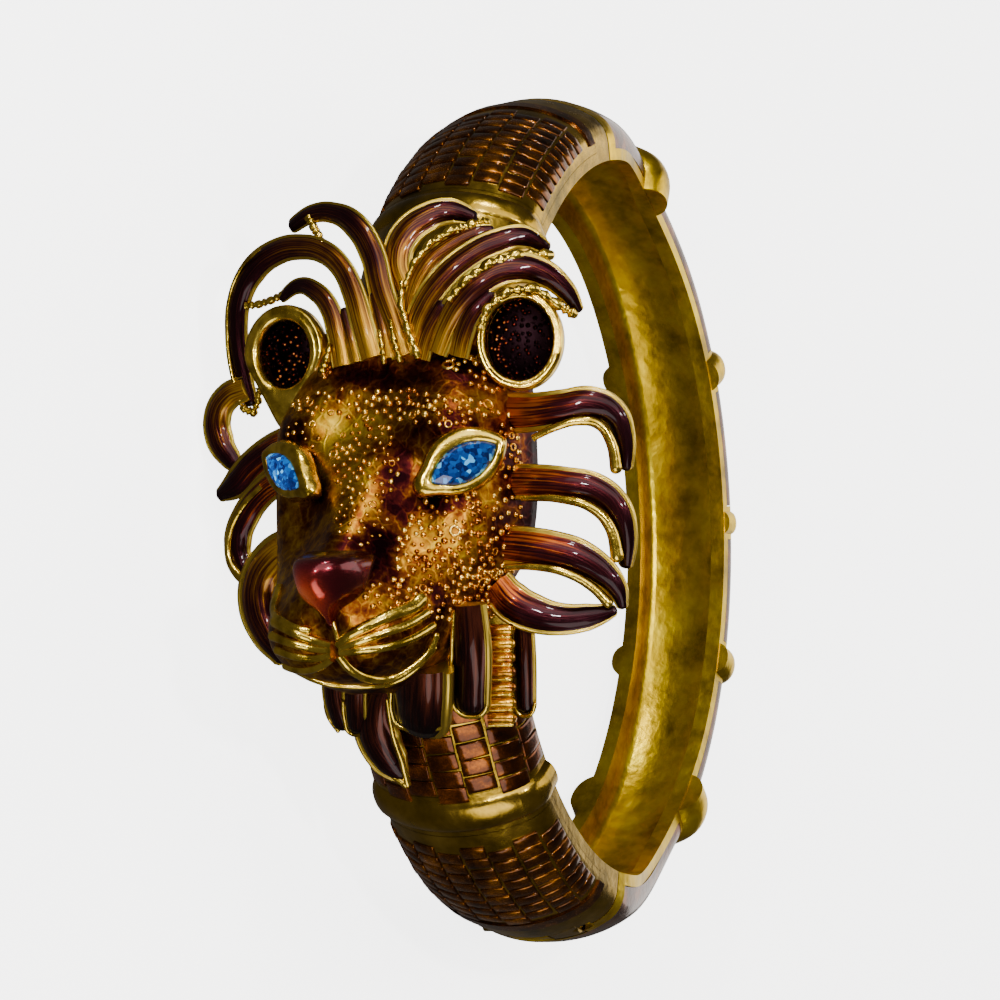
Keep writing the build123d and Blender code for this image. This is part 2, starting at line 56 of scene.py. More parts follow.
camera_turn, camera_rise, camera_roll = radians(25.05), radians(-4.0), radians(-0.6)
camera_distance = 302.6
camera_aim = Vector((-4.8, 1.8, 0.0))
sensor_width, focal_share, photo_side = 36.0, 3.667, 1000
flat_share = cos(camera_rise)
back = Vector((sin(camera_turn) * flat_share, sin(camera_rise), cos(camera_turn) * flat_share))
right = Vector((0, 1, 0)).cross(back).normalized()
level_axes = Matrix((right, back.cross(right), back)).transposed().to_4x4()
camera_axes = level_axes @ Matrix.Rotation(camera_roll, 4, "Z")
bpy.ops.object.camera_add()
camera = bpy.context.object
camera.data.sensor_width = sensor_width
camera.data.lens = sensor_width * focal_share
camera_place = Matrix.Translation(lion_frame @ (camera_aim + back * camera_distance))
camera.matrix_world = camera_place @ lion_axes @ camera_axes
bpy.context.scene.camera = camera

# The studio: a pale floor under the bangle, wide soft lamps over the face, over the back, low in
# front and behind, and three small bright ones for the glints. None of it is part of the object.
floor_size = 4.0
bpy.ops.mesh.primitive_plane_add(size=floor_size)
floor = bpy.context.object
floor.name = "floor"
floor.visible_glossy = False


def finish(name, colour, **sockets):
    """New material with its constants set on the shader's own sockets."""
    made = bpy.data.materials.new(name)
    made.use_nodes = True
    shader = made.node_tree.nodes["Principled BSDF"]
    shader.inputs["Base Color"].default_value = (*colour, 1)
    for socket, value in sockets.items():
        shader.inputs[socket.replace("_", " ")].default_value = value
    return made


def node(material, kind, settings=None, **inputs):
    """New shader node with its settings and its inputs, which are values or other nodes' sockets."""
    made = material.node_tree.nodes.new("ShaderNode" + kind)
    for name, value in (settings or {}).items():
        setattr(made, name, value)
    for name, value in inputs.items():
        socket = made.inputs[int(name[1:])] if name[0] == "_" else made.inputs[name]
        if isinstance(value, bpy.types.NodeSocket):
            material.node_tree.links.new(value, socket)
        else:
            socket.default_value = value
    return made


def feed(material, **sockets):
    """Link sockets of other nodes to the material's shader."""
    shader = material.node_tree.nodes["Principled BSDF"]
    for name, value in sockets.items():
        material.node_tree.links.new(value, shader.inputs[name.replace("_", " ")])


def ramp(material, factor, *stops):
    """Colours blended by a factor: each stop is a place and a colour."""
    made = node(material, "ValToRGB", Fac=factor)
    blend = made.color_ramp
    while len(blend.elements) < len(stops):
        blend.elements.new(0.5)
    for element, (place, colour) in zip(blend.elements, stops):
        element.position = place
        element.color = (*colour, 1)
    return made.outputs["Color"]


def place_mm(material):
    """Object coordinates in mm."""
    source = node(material, "TexCoord").outputs["Object"]
    size = (1 / MM,) * 3
    return node(material, "Mapping", {"vector_type": "POINT"}, Vector=source, Scale=size).outputs["Vector"]


def noise(material, scale, detail=3.0, roughness=0.5, vector=None):
    """Soft noise, with its scale in repeats per mm."""
    where = vector or place_mm(material)
    made = node(material, "TexNoise", Vector=where, Scale=scale, Detail=detail, Roughness=roughness)
    return made.outputs["Fac"]


pale = finish("pale paper", (0.86, 0.86, 0.85), Roughness=0.7, Emission_Strength=4.0,
              Emission_Color=(1.0, 1.0, 1.0, 1.0))
paper_tones = ((0.0, (0.92, 0.92, 0.91)), (1.0, (0.97, 0.97, 0.96)))
feed(pale, Base_Color=ramp(pale, noise(pale, 0.02), *paper_tones))
floor.data.materials.append(pale)

world = bpy.data.worlds.new("studio")
world.use_nodes = True
world.node_tree.nodes["Background"].inputs["Color"].default_value = (1.0, 0.93, 0.85, 1)
world.node_tree.nodes["Background"].inputs["Strength"].default_value = 0.10
bpy.context.scene.world = world

lamp_aim = Vector((0, 0, 15))
# Each light: name, place in the lion's frame, size in mm, power in watts, colour
lamps = [
    ("softbox", (150, 170, 250), (240, 300), 0.6, (1.0, 0.97, 0.92)),
    ("strip", (230, 60, -120), (140, 320), 0.45, (1.0, 0.95, 0.88)),
    ("low_front", (60, -190, 180), (200, 120), 0.28, (1.0, 0.98, 0.95)),
    ("side", (40, 40, -300), (320, 220), 0.35, (1.0, 0.97, 0.92)),
    ("glint_high", (60, 60, 300), (16, 16), 0.3, (1.0, 1.0, 1.0)),
    ("glint_left", (190, 30, 170), (16, 16), 0.25, (1.0, 1.0, 1.0)),
    ("glint_top", (60, 250, 120), (18, 18), 0.25, (1.0, 1.0, 1.0)),
]
for name, place, size, power, colour in lamps:
    bpy.ops.object.light_add(type="AREA")
    lamp = bpy.context.object
    lamp.name = name
    lamp.data.shape = "RECTANGLE"
    lamp.data.size, lamp.data.size_y = size[0] * MM, size[1] * MM
    lamp.data.energy = power
    lamp.data.color = colour
    lamp.location = lion_frame @ Vector(place)
    aim = lion_frame @ lamp_aim - lamp.location
    lamp.rotation_euler = aim.to_track_quat("-Z", "Y").to_euler()

# The band: two cast half rings that meet at a hinge and at a plain tongue clasp. Both are gilt and
# worn in patches, the front half to an olive tone and the rear half to a yellow satin, made lighter
# as a painted light on its inside.
olive, straw, bright = (0.13, 0.085, 0.006), (0.34, 0.21, 0.018), (0.62, 0.4, 0.06)
lit_satin_tones = ((0.3, 0.19, 0.001), (0.72, 0.47, 0.003), (1.0, 0.74, 0.012))


def bumped(material, height, strength, depth):
    """Bump from a height, its depth in mm."""
    made = node(material, "Bump", Strength=strength, Distance=depth * MM, Height=height)
    return made.outputs["Normal"]


def worn_gold(name, grain=1.1, polish=(0.12, 0.34), tones=(olive, straw, bright), relief=0.3):
    """Gilt metal in patches of dark, middle and bright gold, with a fine cast relief."""
    made = finish(name, straw, Metallic=1.0, Roughness=0.2)
    patches = noise(made, 0.22, 4.0, 0.6)
    roughness = node(made, "MapRange", Value=noise(made, 0.9, 3.0), _3=polish[0], _4=polish[1])
    feed(
        made,
        Base_Color=ramp(made, patches, *zip((0.32, 0.5, 0.72), tones)),
        Roughness=roughness.outputs["Result"],
        Normal=bumped(made, noise(made, grain, 4.0), relief, 0.12),
    )
    return made


def refinish(material, *names):
    """Give pieces of the CAD model another material."""
    for name in names:
        for place in frame["nodes"][name].material_slots:
            place.material = material


gold = worn_gold("worn gold plate")
# The rear half's lighter gold is its satin wear and also a painted light on its inside.
lit_satin_gold = worn_gold("satin gold plate with painted light", 0.9, (0.24, 0.42), lit_satin_tones, 0.7)
refinish(gold, "front_band", "hinge_pin", "clasp_tongue")
refinish(lit_satin_gold, "rear_band")

# The rear enamel: six panels of clear brown enamel, fired in the recesses between the cross ribs
# of the rear half and polished flush with them.
rear_panels = 6


def clear_enamel(name, *stops):
    """Clear enamel over metal, cloudy from dark to light."""
    made = finish(name, (0.06, 0.02, 0.004), Metallic=0.95, Roughness=0.24, Coat_Weight=0.3,
                  Coat_Roughness=0.06)
    feed(
        made,
        Base_Color=ramp(made, noise(made, 0.45, 4.0, 0.7), *stops),
        Normal=bumped(made, noise(made, 1.5, 3.0), 0.3, 0.1),
    )
    return made


rear_brown = clear_enamel("brown enamel of the rear half", (0.3, (0.02, 0.004, 0.002)),
                          (0.5, (0.09, 0.022, 0.004)), (0.72, (0.3, 0.09, 0.01)))
refinish(rear_brown, *[f"rear_enamel_{number}" for number in range(1, rear_panels + 1)])

# The face: a cast shell with brow, cheeks, muzzle and chin, open at the back where it sits on the
# band. It is chased all over and covered in clear amber enamel that turns maroon round the eyes.

# Columns of the face, as shares of its half width
face_columns = [0.0, 0.13, 0.27, 0.42, 0.56, 0.70, 0.85, 1.0]
# Each row: height, middle, half width and then the depth at each column
face_rows = [
    (-13.8, -0.7, 5.2, (26.4, 26.4, 26.4, 26.3, 26.2, 26.0, 25.8, 25.2)),
    (-14.7, -1.0, 3.4, (30.2, 30.2, 30.1, 29.8, 29.4, 28.8, 28.0, 26.2)),
    (-14.5, -1.1, 2.6, (33.4, 33.4, 33.3, 33.0, 32.4, 31.6, 30.2, 27.5)),
    (-13.9, -1.1, 4.0, (36.2, 36.2, 36.1, 35.9, 35.4, 34.4, 32.4, 27.5)),
    (-12.9, -1.1, 5.7, (37.6, 37.7, 37.7, 37.5, 37.1, 36.2, 34.0, 27.5)),
    (-11.6, -1.1, 7.0, (38.2, 38.6, 38.9, 38.8, 38.4, 37.5, 35.2, 27.5)),
    (-9.6, -1.0, 7.7, (38.8, 39.3, 39.6, 39.3, 38.7, 37.6, 35.0, 27.2)),
    (-7.4, -0.9, 8.6, (39.4, 39.4, 38.8, 37.6, 36.4, 34.9, 32.4, 26.4)),
    (-5.0, -0.7, 9.7, (38.9, 38.3, 36.7, 35.0, 34.1, 33.2, 31.2, 25.2)),
    (-2.8, -0.6, 10.3, (37.0, 36.4, 34.6, 33.0, 32.7, 32.3, 30.8, 24.9)),
    (-0.6, -0.5, 10.5, (35.2, 34.8, 33.4, 32.2, 32.3, 32.1, 30.8, 25.0)),
    (1.8, -0.5, 10.6, (33.6, 33.3, 32.5, 31.7, 31.6, 31.5, 30.6, 25.0)),
    (4.2, -0.5, 10.5, (32.2, 32.1, 32.0, 32.4, 32.4, 32.1, 30.8, 25.0)),
    (6.0, -0.5, 10.4, (31.0, 31.1, 31.6, 32.4, 32.6, 31.9, 30.2, 24.9)),
    (8.2, -0.4, 9.9, (30.1, 30.2, 30.5, 30.8, 30.6, 29.9, 28.4, 24.6)),
    (10.6, -0.3, 9.4, (29.2, 29.2, 29.2, 29.1, 28.7, 27.9, 26.6, 24.0)),
    (13.6, -0.2, 8.0, (27.4, 27.4, 27.3, 27.1, 26.7, 26.1, 25.0, 23.2)),
]


def finished(piece, kind, **settings):
    """Piece with a modifier applied."""
    modifier = piece.modifiers.new(kind.lower(), kind)
    for name, value in settings.items():
        setattr(modifier, name, value)
    bpy.ops.object.select_all(action="DESELECT")
    piece.select_set(True)
    bpy.context.view_layer.objects.active = piece
    bpy.ops.object.modifier_apply(modifier=modifier.name)
    return piece


def cage(rows, columns, levels, wall):
    """Shell over rows of height, middle, half width and depths, rounded and given its wall."""
    bpy.ops.object.select_all(action="DESELECT")
    across, along = 2 * (len(columns) - 1), len(rows) - 1
    bpy.ops.mesh.primitive_grid_add(x_subdivisions=across, y_subdivisions=along, size=2)
    made = bpy.context.object
    for point in made.data.vertices:
        column = round((point.co.x + 1) / 2 * across) - across // 2
        height, middle, half, depths = rows[round((point.co.y + 1) / 2 * along)]
        side = -1 if column < 0 else 1
        point.co = (middle + side * columns[abs(column)] * half, height, depths[abs(column)])
    finished(made, "SUBSURF", levels=levels, render_levels=levels)
    finished(made, "SOLIDIFY", thickness=wall, offset=-1)
    return made


def joined(pieces):
    """Several pieces made one, with the first one's name."""
    bpy.ops.object.select_all(action="DESELECT")
    for piece in pieces:
        piece.select_set(True)
    bpy.context.view_layer.objects.active = pieces[0]
    if len(pieces) > 1:
        bpy.ops.object.join()
    return pieces[0]


def own_copy(model):
    """Copy of an object with a mesh of its own."""
    made = model.copy()
    made.data = model.data.copy()
    bpy.context.collection.objects.link(made)
    return made


# Two cast posts hold the head in the holes of the band: their heights, radius and ends in depth
post_heights, post_radius, post_start, post_end = (-7.5, 7.9), 0.9, 25.7, 28.4
face = cage(face_rows, face_columns, 3, 1.1)
for height in post_heights:
    bpy.ops.mesh.primitive_cylinder_add(
        vertices=24, radius=post_radius, depth=post_end - post_start,
        location=(0, height, (post_start + post_end) / 2),
    )
    face = joined([face, bpy.context.object])
bpy.ops.object.shade_smooth()
skin = own_copy(face)
bpy.context.view_layer.update()


def through(x, y):
    """Direction, in the camera's axes, through a pixel of the photograph."""
    across, down = x - photo_side / 2, photo_side / 2 - y
    return Vector((across / photo_side / focal_share, down / photo_side / focal_share, -1))


def seen_at(x, y):
    """Point and outward direction on the face at a pixel of the photograph."""
    eye = camera_aim + back * camera_distance
    spot = camera_axes @ through(x, y)
    hit, point, normal, _ = skin.ray_cast(eye, spot.normalized())
    return (point, normal) if hit else (None, None)


# Each stain of the enamel, some of the dark ones painted shade: its middle in the photograph's pixels,
# its reach in mm and how much lighter it is there
base_tone = 0.52
stain_and_shade_spots = [
    ((380, 372), 1.5, -0.35), ((350, 376), 1.4, -0.35), ((412, 376), 1.5, -0.35), ((440, 386), 1.5, -0.25),
    ((455, 358), 1.8, -0.4), ((474, 372), 1.4, -0.3), ((325, 372), 1.3, -0.2), ((293, 437), 1.6, -0.4),
    ((320, 503), 1.4, -0.35), ((300, 462), 1.0, -0.3),
    ((396, 478), 1.2, -0.5), ((402, 450), 1.1, -0.4), ((420, 430), 1.0, -0.4), ((450, 424), 1.1, -0.4),
    ((398, 507), 1.3, -0.4), ((431, 503), 1.2, -0.45), ((463, 498), 1.1, -0.4), ((478, 430), 1.0, -0.3),
    ((383, 540), 1.4, -0.55), ((376, 564), 1.3, -0.5), ((392, 584), 1.2, -0.25),
    ((506, 459), 1.3, -0.35), ((508, 491), 1.3, -0.3), ((504, 434), 1.3, -0.35), ((500, 525), 1.3, -0.25),
    ((498, 560), 1.6, -0.2), ((480, 600), 1.6, -0.2), ((440, 606), 1.4, -0.3), ((432, 590), 1.2, -0.2),
    ((326, 452), 1.8, 0.2), ((352, 432), 1.8, 0.18), ((345, 475), 1.8, 0.16), ((330, 420), 1.6, 0.12),
    ((437, 533), 1.5, 0.1), ((485, 507), 1.0, 0.15), ((452, 565), 2.0, -0.05), ((320, 545), 2.0, -0.05),
    ((345, 545), 1.4, -0.25), ((342, 612), 2.0, -0.12), ((400, 640), 2.4, -0.14), ((300, 630), 2.2, -0.1),
    ((360, 668), 1.6, -0.25), ((420, 668), 2.4, -0.25), ((360, 690), 2.2, -0.3),
]
stains_and_shade = [(seen_at(*spot)[0], (reach,) * 3, shift) for spot, reach, shift in stain_and_shade_spots]
# Both sides of the shell are darker towards the band, a painted shade where the face meets it: how far
# out and how far forward that painted shade is, its reach and its shift in lightness
side_across, side_depth, side_reach, side_shift = 10.3, 24.5, (1.6, 18.0, 3.4), -0.5
stains_and_shade += [((side * side_across, 0.0, side_depth), side_reach, side_shift) for side in (1, -1)]


def store_stains_and_light(piece, base, table):
    """Store on each point how light the enamel is there, from stain marks and from painted light and shade."""
    spots = np.empty(len(piece.data.vertices) * 3)
    piece.data.vertices.foreach_get("co", spots)
    spots = spots.reshape(-1, 3)
    tone = np.full(len(spots), base)
    for place, reach, shift in table:
        away = sum(((spots[:, i] - place[i]) / reach[i]) ** 2 for i in range(len(place)))
        tone += shift * np.exp(-away)
    piece.data.attributes.new("tone", "FLOAT", "POINT").data.foreach_set("value", tone)


def toned(material):
    """The stored lightness of the enamel."""
    return node(material, "Attribute", {"attribute_name": "tone"}).outputs["Fac"]


def mixed(material, operation, first, second):
    """Two values put together by a sum or the like."""
    return node(material, "Math", {"operation": operation}, _0=first, _1=second).outputs[0]


def lay(piece, name, slot, *materials):
    """Lay a piece that was modelled in the lion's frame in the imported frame, on the front half."""
    piece.name = piece.data.name = name
    piece.data.materials.clear()
    for material in materials:
        piece.data.materials.append(material)
    piece.matrix_world = lion_frame @ piece.matrix_world
    bpy.ops.object.select_all(action="DESELECT")
    piece.select_set(True)
    bpy.context.view_layer.objects.active = piece
    bpy.ops.object.transform_apply(location=True, rotation=True, scale=True)
    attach(piece, "front")
    return piece


# The face's lightness: its stain marks together with painted shade
store_stains_and_light(face, base_tone, stains_and_shade)
enamel_tones = [
    (0.0, (0.008, 0.0012, 0.002)), (0.2, (0.035, 0.004, 0.004)), (0.38, (0.13, 0.032, 0.004)),
    (0.56, (0.33, 0.14, 0.005)), (0.74, (0.52, 0.29, 0.01)), (1.0, (0.78, 0.52, 0.03)),
]
honey = finish("amber enamel over gold", (0.3, 0.12, 0.02), Metallic=1.0, Roughness=0.36)
warp = node(honey, "TexNoise", Vector=place_mm(honey), Scale=0.9, Detail=2.0)
wavy = node(honey, "VectorMath", {"operation": "ADD"}, _0=place_mm(honey), _1=warp.outputs["Color"])
veins = node(honey, "TexVoronoi", {"feature": "DISTANCE_TO_EDGE"}, Vector=wavy.outputs[0], Scale=0.85)
groove = node(honey, "MapRange", Value=veins.outputs["Distance"], _1=0.02, _2=0.12, _3=0.08, _4=-0.03)
vein = groove.outputs[0]
cloud = mixed(honey, "MULTIPLY", mixed(honey, "SUBTRACT", noise(honey, 0.75, 4.0, 0.6), 0.5), 1.1)
lightness = mixed(honey, "ADD", mixed(honey, "ADD", toned(honey), cloud), vein)
chasing = mixed(honey, "ADD", mixed(honey, "MULTIPLY", noise(honey, 0.9, 2.0), 0.4), vein)
feed(honey, Base_Color=ramp(honey, lightness, *enamel_tones), Normal=bumped(honey, chasing, 0.45, 0.2))
lay(face, "face", "head_gold", honey)
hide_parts("lion_head")

# The grains of the skin: small gilt balls and rings that are cast on the brow, cheeks and muzzle
# and show through the amber enamel.

# Each field of grains: the middle and the half sizes of its oval in the photograph's pixels, how
# many are tried there and their radius in mm
grain_fields = [
    ((372, 404), (80, 16), 420, 0.26),
    ((446, 412), (54, 14), 260, 0.28),
    ((366, 462), (34, 46), 340, 0.22),
    ((362, 520), (26, 26), 160, 0.2),
    ((455, 556), (58, 66), 1500, 0.29),
    ((394, 594), (34, 16), 200, 0.27),
    ((494, 376), (26, 18), 140, 0.3),
    ((302, 442), (18, 22), 90, 0.2),
    ((508, 500), (14, 90), 220, 0.24),
    ((470, 610), (40, 12), 120, 0.27),
    ((323, 371), (8, 7), 16, 0.36),
    ((470, 364), (22, 8), 60, 0.27),
]
ring_share, ring_size, grain_height = 0.06, 1.3, 0.8
least_gap, size_range = 0.53, (0.6, 1.15)


def copies(model, places):
    """Copies of a small mesh, each with its own mesh, joined: each place is a matrix."""
    made = []
    for place in places:
        made.append(own_copy(model))
        made[-1].matrix_world = place
    whole = joined(made)
    bpy.ops.object.transform_apply(location=True, rotation=True, scale=True)
    return whole


def upright(point, normal, size, spin=0.0):
    """Matrix that sets a model at a point with its Z along the normal."""
    turn = normal.to_track_quat("Z", "Y").to_matrix().to_4x4() @ Matrix.Rotation(spin, 4, "Z")
    return Matrix.Translation(point) @ turn @ Matrix.Diagonal((*size, 1))


chance = Random(7)
bpy.ops.object.select_all(action="DESELECT")
bpy.ops.mesh.primitive_uv_sphere_add(segments=8, ring_count=5, radius=1)
grain = bpy.context.object
bpy.ops.mesh.primitive_torus_add(major_segments=10, minor_segments=5, major_radius=1, minor_radius=0.34)
ring = bpy.context.object
grain_places, ring_places, taken = [], [], []
for (x, y), (half_x, half_y), count, radius in grain_fields:
    for i in range(count):
        turn, reach = chance.uniform(0, 2 * pi), chance.random() ** 0.5
        point, normal = seen_at(x + half_x * reach * cos(turn), y + half_y * reach * sin(turn))
        size = radius * chance.uniform(*size_range)
        if point is None or any((point - spot).length < least_gap for spot in taken):
            continue
        taken.append(point)
        if chance.random() < ring_share:
            ring_places.append(upright(point, normal, (size * ring_size,) * 3))
        else:
            grain_places.append(upright(point, normal, (size, size, size * grain_height)))
grains = copies(grain, grain_places)
rings = copies(ring, ring_places)
for model in (grain, ring):
    bpy.data.objects.remove(model)
grains = joined([grains, rings])
bpy.ops.object.shade_smooth()
grain_gold = finish("gilt grains under amber", (0.6, 0.3, 0.03), Metallic=1.0, Roughness=0.2)
grain_tones = ((0.35, (0.4, 0.12, 0.012)), (0.5, (0.8, 0.38, 0.04)), (0.65, (1.0, 0.66, 0.14)))
feed(grain_gold, Base_Color=ramp(grain_gold, noise(grain_gold, 0.5, 3.0), *grain_tones))
lay(grains, "skin_grains", "head_gold", grain_gold)

# The nose: a rounded block of red enamel that narrows down to the lip. It is fired on a boss of
# the cast muzzle, with painted shade along its top edge and a painted highlight down its right side.
nose_columns = [0.0, 0.5, 0.85, 1.0]
nose_rows = [
    (-9.8, 0.0, 0.2, (39.4, 39.4, 39.2, 38.6)),
    (-8.8, 0.0, 0.5, (40.6, 40.5, 40.0, 38.9)),
    (-8.3, -0.1, 1.4, (41.4, 41.1, 40.3, 38.8)),
    (-7.6, -0.2, 2.3, (42.3, 41.5, 40.3, 38.4)),
    (-6.7, -0.2, 2.7, (42.8, 41.8, 40.2, 38.2)),
    (-5.8, -0.2, 2.8, (42.7, 42.1, 40.7, 37.8)),
    (-5.0, -0.2, 2.8, (42.0, 41.8, 40.4, 37.2)),
    (-4.4, -0.2, 2.4, (40.0, 39.9, 38.9, 36.4)),
]
nose = cage(nose_rows, nose_columns, 3, 0.6)
bpy.ops.object.shade_smooth()
nose_tone = 0.42
# Each patch of painted light and shade on the nose: its middle and its reach in mm, and how much lighter it is
# there
nose_light_and_shade = [
    ((0.0, -4.5, 40.0), (4.0, 0.9, 3.0), -0.4), ((-1.2, -7.8, 41.4), (1.6, 1.2, 2.4), 0.7),
    ((1.6, -7.0, 40.0), (1.5, 1.4, 2.0), -0.15),
]
store_stains_and_light(nose, nose_tone, nose_light_and_shade)
nose_red = finish("red enamel of the nose", (0.2, 0.01, 0.01), Metallic=0.9, Roughness=0.24,
                  Coat_Weight=0.4, Coat_Roughness=0.05)
nose_tones = (
    (0.0, (0.012, 0.002, 0.004)), (0.4, (0.1, 0.006, 0.01)), (0.75, (0.42, 0.04, 0.012)),
    (1.0, (0.6, 0.1, 0.02)),
)
feed(nose_red, Base_Color=ramp(nose_red, toned(nose_red), *nose_tones),
     Normal=bumped(nose_red, noise(nose_red, 2.2, 3.0), 0.3, 0.1))
lay(nose, "nose", "head_gold", nose_red)

# The eyes: blue cut stones in pointed gilt settings that are wider over the stone and run out in a
# point at the inner corner. The settings are cast with the head, and their edge holds the stone.
stone_length, stone_width = 6.4, 3.2
eye_place, eye_turn, eye_slant = (7.3, 2.1, 32.1), radians(28), radians(30)
hoop_steps, inner_point = 40, 1.2
# Each loop of a setting: level and how much longer and wider than the stone, with the shift
setting_loops = [
    (0.42, -1.3, -0.75, 0.0), (0.62, -0.8, -0.5, 0.05), (0.7, 0.0, 0.1, 0.2), (0.6, 0.6, 0.65, 0.42),
    (0.2, 1.0, 1.1, 0.5), (-1.4, 1.4, 1.4, 0.5),
]
bright_gold = worn_gold("bright chased gold", 2.4, (0.12, 0.28))
chased_tones = ((0.35, (0.4, 0.25, 0.014)), (0.6, (0.9, 0.62, 0.08)))
feed(bright_gold, Base_Color=ramp(bright_gold, noise(bright_gold, 0.8, 4.0), *chased_tones))


def marquise(length, width, shift=0.0):
    """Pointed oval of two arcs, its inner point drawn out and its upper side moved up by a shift."""
    half, bow = length / 2, width / 2
    radius = (half ** 2 + bow ** 2) / (2 * bow)
    reach = atan2(half, radius - bow)
    upper = []
    for i in range(hoop_steps // 2):
        turn = pi / 2 + reach - 4 * reach * i / hoop_steps
        upper.append((radius * cos(turn), radius * sin(turn) - radius + bow))
    points = upper + [(-x, -y) for x, y in upper]
    return [(x - inner_point * shift * (x < -0.8 * half), y + shift * max(0.0, y / bow)) for x, y in points]


def hoop(loops):
    """Closed hoop through loops of a level and an outline, from its inner foot over its crest."""
    count = len(loops[0][1])
    bpy.ops.object.select_all(action="DESELECT")
    bpy.ops.mesh.primitive_circle_add(vertices=count, radius=1)
    made = bpy.context.object
    for i, (level, outline) in enumerate(loops):
        if i:
            bpy.ops.object.mode_set(mode="EDIT")
            bpy.ops.mesh.extrude_region_move()
            bpy.ops.object.mode_set(mode="OBJECT")
        for point, (x, y) in zip(list(made.data.vertices)[-count:], outline):
            point.co = (x, y, level)
    for i, point in enumerate(made.data.vertices):
        point.select = i < count or i >= len(made.data.vertices) - count
    bpy.ops.object.mode_set(mode="EDIT")
    bpy.ops.mesh.bridge_edge_loops()
    bpy.ops.mesh.select_all(action="SELECT")
    bpy.ops.mesh.normals_make_consistent(inside=False)
    bpy.ops.object.mode_set(mode="OBJECT")
    finished(made, "SUBSURF", levels=1, render_levels=1)
    bpy.ops.object.shade_smooth()
    return made


def seat(origin, long_way, normal):
    """Matrix of a seat from its middle, its long way and its outward direction."""
    axes = Matrix((long_way, normal.cross(long_way), normal)).transposed().to_4x4()
    return Matrix.Translation(origin) @ axes


def eye_seat(side):
    """Seat of an eye: side is 1 for the lion's left and -1 for its right."""
    normal = Vector((side * sin(eye_turn), 0, cos(eye_turn)))
    level = Vector((side * cos(eye_turn), 0, -sin(eye_turn)))
    long_way = level * cos(eye_slant) + Vector((0, 1, 0)) * sin(eye_slant)
    return seat(Vector((side * eye_place[0], *eye_place[1:])), long_way, normal)


for side, name, cover in ((1, "left", 0.0), (-1, "right", 0.5)):
    loops = []
    for level, longer, wider, shift in setting_loops:
        outline = marquise(stone_length + longer - cover, stone_width + wider - cover, shift)
        loops.append((level, [(x, side * y) for x, y in outline]))
    setting = hoop(loops)
    setting.matrix_world = eye_seat(side)
    lay(setting, "eye_setting_" + name, "head_gold", bright_gold)

# The stones' cut faces are painted as cells of dark and bright blue, a painted reflection of the light in the cut
# stone.
blue = finish("blue cut stone with painted glints", (0.0, 0.12, 0.6), Metallic=0.3, Roughness=0.06, Coat_Weight=1.0,
              Coat_Roughness=0.02)
facet_cells = node(blue, "TexVoronoi", Vector=place_mm(blue), Scale=3.0)
facet_glint = node(blue, "SeparateColor", Color=facet_cells.outputs["Color"]).outputs[0]
facet_glint_tones = (
    (0.1, (0.0, 0.006, 0.06)), (0.5, (0.0, 0.03, 0.17)), (0.85, (0.0, 0.09, 0.36)), (1.0, (0.1, 0.5, 0.95)),
)
feed(blue, Base_Color=ramp(blue, facet_glint, *facet_glint_tones), Normal=bumped(blue, facet_glint, 0.5, 0.25))
refinish(blue, "eye_stone_left", "eye_stone_right")

# The ears: oval gilt rims, cast with the head, round a sunk hollow of black enamel with red
# grains. The right ear is turned to the front and its rim runs down in a tail.
ear_place = (9.8, 11.5, 27.3)
# Each ear: side, name, turn outwards and half sizes of its hollow
ears = [(1, "left", radians(16), (2.5, 3.1, 0.4)), (-1, "right", radians(-16 / 3), (2.3, 2.8, 0.4))]
# Each loop of a rim: level, half sizes across and up, and how much larger it is on the right ear
ear_loops = [
    (0.1, 2.4, 2.9, -0.45), (0.9, 2.5, 3.0, -0.45), (1.25, 2.75, 3.25, -0.25), (1.0, 2.92, 3.42, -0.1),
    (1.2, 3.1, 3.6, 0.05), (0.8, 3.35, 3.85, 0.05), (-1.2, 3.3, 3.8, 0.05),
]
tail_start, tail_slimness, tail_length = 3, 0.5, 0.55
ear_dark = finish("black enamel of the ears", (0.004, 0.001, 0.001), Metallic=1.0, Roughness=0.3)
dots = node(ear_dark, "TexVoronoi", Vector=place_mm(ear_dark), Scale=2.6)
dot = node(ear_dark, "MapRange", Value=dots.outputs["Distance"], _1=0.1, _2=0.5, _3=1.0, _4=0.0).outputs[0]
dot_share = mixed(ear_dark, "MULTIPLY", dot, noise(ear_dark, 0.35, 1.0))
dot_tones = ((0.3, (0.004, 0.0015, 0.002)), (0.46, (0.14, 0.016, 0.01)), (0.6, (0.7, 0.26, 0.06)))
feed(ear_dark, Base_Color=ramp(ear_dark, dot_share, *dot_tones), Normal=bumped(ear_dark, dot, 0.6, 0.2))
